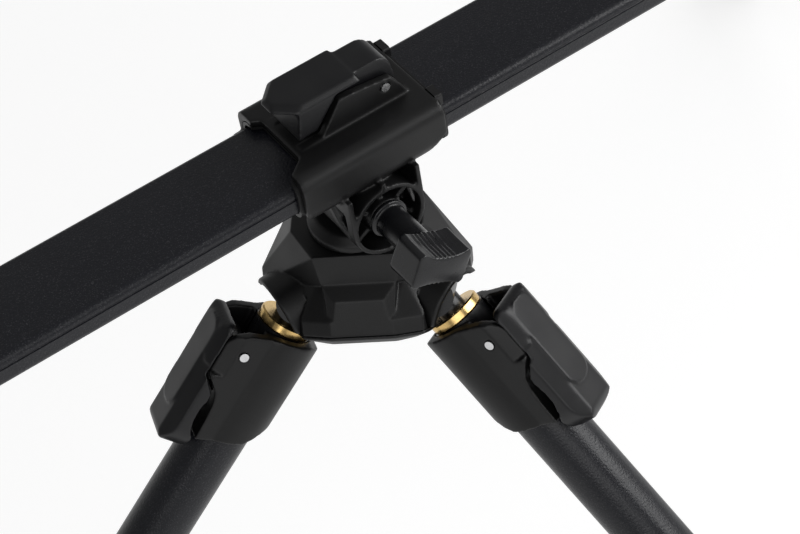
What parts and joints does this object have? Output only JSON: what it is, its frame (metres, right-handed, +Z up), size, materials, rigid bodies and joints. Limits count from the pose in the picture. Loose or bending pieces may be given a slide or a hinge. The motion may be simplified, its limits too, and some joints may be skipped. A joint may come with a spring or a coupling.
{
  "type": "rod pod",
  "caption": "Angler's rod pod: a flat beam on sliding quick-lock clamps with swivel hubs, splayed telescopic legs with flip locks, and alarm cross bars on posts.",
  "frame": {"origin": "on the ground, midway between the two clamp units, under the middle of the beam", "axes": "+X along the beam, away from the front cross bar; +Z up; -Y is the front clamp's knob side"},
  "size_m": [1.1144, 0.5808, 0.4642],
  "materials": {
    "coat": "satin black powder coat",
    "moulded": "satin black moulding",
    "lever": "smooth blue-black moulding",
    "gloss": "glossy black",
    "brass": "bright turned",
    "steel": "bright",
    "rubber": "matt"
  },
  "bodies": {
    "beam": {"main_beam": "coat", "end_block_front": "moulded", "end_block_rear": "moulded"},
    "clamp_front": {"clamp_collar_front": "moulded", "collar_liner_front": "moulded", "clamp_lever_pin_front": "steel"},
    "clamp_lever_front": {"clamp_lever_front": "lever"},
    "lock_knob_front": {"lock_knob_front": "gloss"},
    "hub_front": {"hub_body_front": "moulded", "hub_cover_front": "moulded", "leg_pivot_pins_front": "steel", "swivel_post_front": "steel"},
    "upper_leg_front_left": {"leg_stud_front_left": "gloss", "brass_collar_front_left": "brass", "inner_tube_front_left": "coat"},
    "lower_leg_front_left": {"lock_housing_front_left": "moulded", "lock_pin_front_left": "steel", "outer_tube_front_left": "coat", "leg_foot_front_left": "rubber"},
    "lock_lever_front_left": {"lock_lever_front_left": "lever"},
    "upper_leg_front_right": {"leg_stud_front_right": "gloss", "brass_collar_front_right": "brass", "inner_tube_front_right": "coat"},
    "lower_leg_front_right": {"lock_housing_front_right": "moulded", "lock_pin_front_right": "steel", "outer_tube_front_right": "coat", "leg_foot_front_right": "rubber"},
    "lock_lever_front_right": {"lock_lever_front_right": "lever"},
    "alarm_bar_front": {"alarm_post_front": "coat", "cross_bar_front": "coat"},
    "post_screw_front": {"post_screw_front": "gloss"},
    "clamp_rear": {"clamp_collar_rear": "moulded", "collar_liner_rear": "moulded", "clamp_lever_pin_rear": "steel"},
    "clamp_lever_rear": {"clamp_lever_rear": "lever"},
    "lock_knob_rear": {"lock_knob_rear": "gloss"},
    "hub_rear": {"hub_body_rear": "moulded", "hub_cover_rear": "moulded", "leg_pivot_pins_rear": "steel", "swivel_post_rear": "steel"},
    "upper_leg_rear_left": {"leg_stud_rear_left": "gloss", "brass_collar_rear_left": "brass", "inner_tube_rear_left": "coat"},
    "lower_leg_rear_left": {"lock_housing_rear_left": "moulded", "lock_pin_rear_left": "steel", "outer_tube_rear_left": "coat", "leg_foot_rear_left": "rubber"},
    "lock_lever_rear_left": {"lock_lever_rear_left": "lever"},
    "upper_leg_rear_right": {"leg_stud_rear_right": "gloss", "brass_collar_rear_right": "brass", "inner_tube_rear_right": "coat"},
    "lower_leg_rear_right": {"lock_housing_rear_right": "moulded", "lock_pin_rear_right": "steel", "outer_tube_rear_right": "coat", "leg_foot_rear_right": "rubber"},
    "lock_lever_rear_right": {"lock_lever_rear_right": "lever"},
    "alarm_bar_rear": {"alarm_post_rear": "coat", "cross_bar_rear": "coat"},
    "post_screw_rear": {"post_screw_rear": "gloss"}
  },
  "joints": [
    {"name": "clamp_slide_front", "type": "slide", "parent": "beam", "child": "clamp_front", "axis": [1, 0, 0], "range_m": [-0.12, 0.14]},
    {"name": "clamp_lever_turn_front", "type": "hinge", "parent": "clamp_front", "child": "clamp_lever_front", "pos_m": [-0.236, 0, 0.36589], "axis": [0, 1, 0], "range_deg": [0, 95]},
    {"name": "knob_turn_front", "type": "hinge", "parent": "clamp_front", "child": "lock_knob_front", "pos_m": [-0.25, -0.024, 0.32734], "axis": [0, -1, 0], "continuous": true},
    {"name": "hub_swivel_front", "type": "hinge", "parent": "clamp_front", "child": "hub_front", "pos_m": [-0.25, 0, 0.30924], "axis": [0, 0, 1], "range_deg": [-53, 37]},
    {"name": "leg_splay_front_left", "type": "hinge", "parent": "hub_front", "child": "upper_leg_front_left", "pos_m": [-0.27232, 0.00793, 0.28024], "axis": [0.5212, 0.6916, -0.5], "range_deg": [-10, 28]},
    {"name": "leg_extend_front_left", "type": "slide", "parent": "upper_leg_front_left", "child": "lower_leg_front_left", "axis": [-0.7129, 0.0307, -0.7006], "range_m": [0, 0.25]},
    {"name": "lock_lever_turn_front_left", "type": "hinge", "parent": "lower_leg_front_left", "child": "lock_lever_front_left", "pos_m": [-0.29739, 0.01314, 0.27271], "axis": [0.2627, 0.938, -0.2262], "range_deg": [0, 50]},
    {"name": "leg_splay_front_right", "type": "hinge", "parent": "hub_front", "child": "upper_leg_front_right", "pos_m": [-0.23622, -0.01927, 0.28024], "axis": [-0.5212, -0.6916, 0.5], "range_deg": [-10, 28]},
    {"name": "leg_extend_front_right", "type": "slide", "parent": "upper_leg_front_right", "child": "lower_leg_front_right", "axis": [0.226, -0.6768, -0.7006], "range_m": [0, 0.25]},
    {"name": "lock_lever_turn_front_right", "type": "hinge", "parent": "lower_leg_front_right", "child": "lock_lever_front_right", "pos_m": [-0.22431, -0.04193, 0.27271], "axis": [-0.8292, -0.5111, 0.2262], "range_deg": [0, 50]},
    {"name": "post_slide_front", "type": "slide", "parent": "beam", "child": "alarm_bar_front", "axis": [0, 0, 1], "range_m": [-0.05, 0.03]},
    {"name": "post_screw_turn_front", "type": "hinge", "parent": "beam", "child": "post_screw_front", "pos_m": [-0.493, 0, 0.35324], "axis": [-1, 0, 0], "continuous": true},
    {"name": "clamp_slide_rear", "type": "slide", "parent": "beam", "child": "clamp_rear", "axis": [-1, 0, 0], "range_m": [-0.12, 0.14]},
    {"name": "clamp_lever_turn_rear", "type": "hinge", "parent": "clamp_rear", "child": "clamp_lever_rear", "pos_m": [0.236, 0, 0.36589], "axis": [0, -1, 0], "range_deg": [0, 95]},
    {"name": "knob_turn_rear", "type": "hinge", "parent": "clamp_rear", "child": "lock_knob_rear", "pos_m": [0.25, 0.024, 0.32734], "axis": [0, 1, 0], "continuous": true},
    {"name": "hub_swivel_rear", "type": "hinge", "parent": "clamp_rear", "child": "hub_rear", "pos_m": [0.25, 0, 0.30924], "axis": [0, 0, 1], "range_deg": [-53, 37]},
    {"name": "leg_splay_rear_left", "type": "hinge", "parent": "hub_rear", "child": "upper_leg_rear_left", "pos_m": [0.27232, -0.00793, 0.28024], "axis": [-0.5212, -0.6916, -0.5], "range_deg": [-10, 28]},
    {"name": "leg_extend_rear_left", "type": "slide", "parent": "upper_leg_rear_left", "child": "lower_leg_rear_left", "axis": [0.7129, -0.0307, -0.7006], "range_m": [0, 0.25]},
    {"name": "lock_lever_turn_rear_left", "type": "hinge", "parent": "lower_leg_rear_left", "child": "lock_lever_rear_left", "pos_m": [0.29739, -0.01314, 0.27271], "axis": [-0.2627, -0.938, -0.2262], "range_deg": [0, 50]},
    {"name": "leg_splay_rear_right", "type": "hinge", "parent": "hub_rear", "child": "upper_leg_rear_right", "pos_m": [0.23622, 0.01927, 0.28024], "axis": [0.5212, 0.6916, 0.5], "range_deg": [-10, 28]},
    {"name": "leg_extend_rear_right", "type": "slide", "parent": "upper_leg_rear_right", "child": "lower_leg_rear_right", "axis": [-0.226, 0.6768, -0.7006], "range_m": [0, 0.25]},
    {"name": "lock_lever_turn_rear_right", "type": "hinge", "parent": "lower_leg_rear_right", "child": "lock_lever_rear_right", "pos_m": [0.22431, 0.04193, 0.27271], "axis": [0.8292, 0.5111, 0.2262], "range_deg": [0, 50]},
    {"name": "post_slide_rear", "type": "slide", "parent": "beam", "child": "alarm_bar_rear", "axis": [0, 0, 1], "range_m": [-0.05, 0.03]},
    {"name": "post_screw_turn_rear", "type": "hinge", "parent": "beam", "child": "post_screw_rear", "pos_m": [0.493, 0, 0.35324], "axis": [1, 0, 0], "continuous": true}
  ]
}
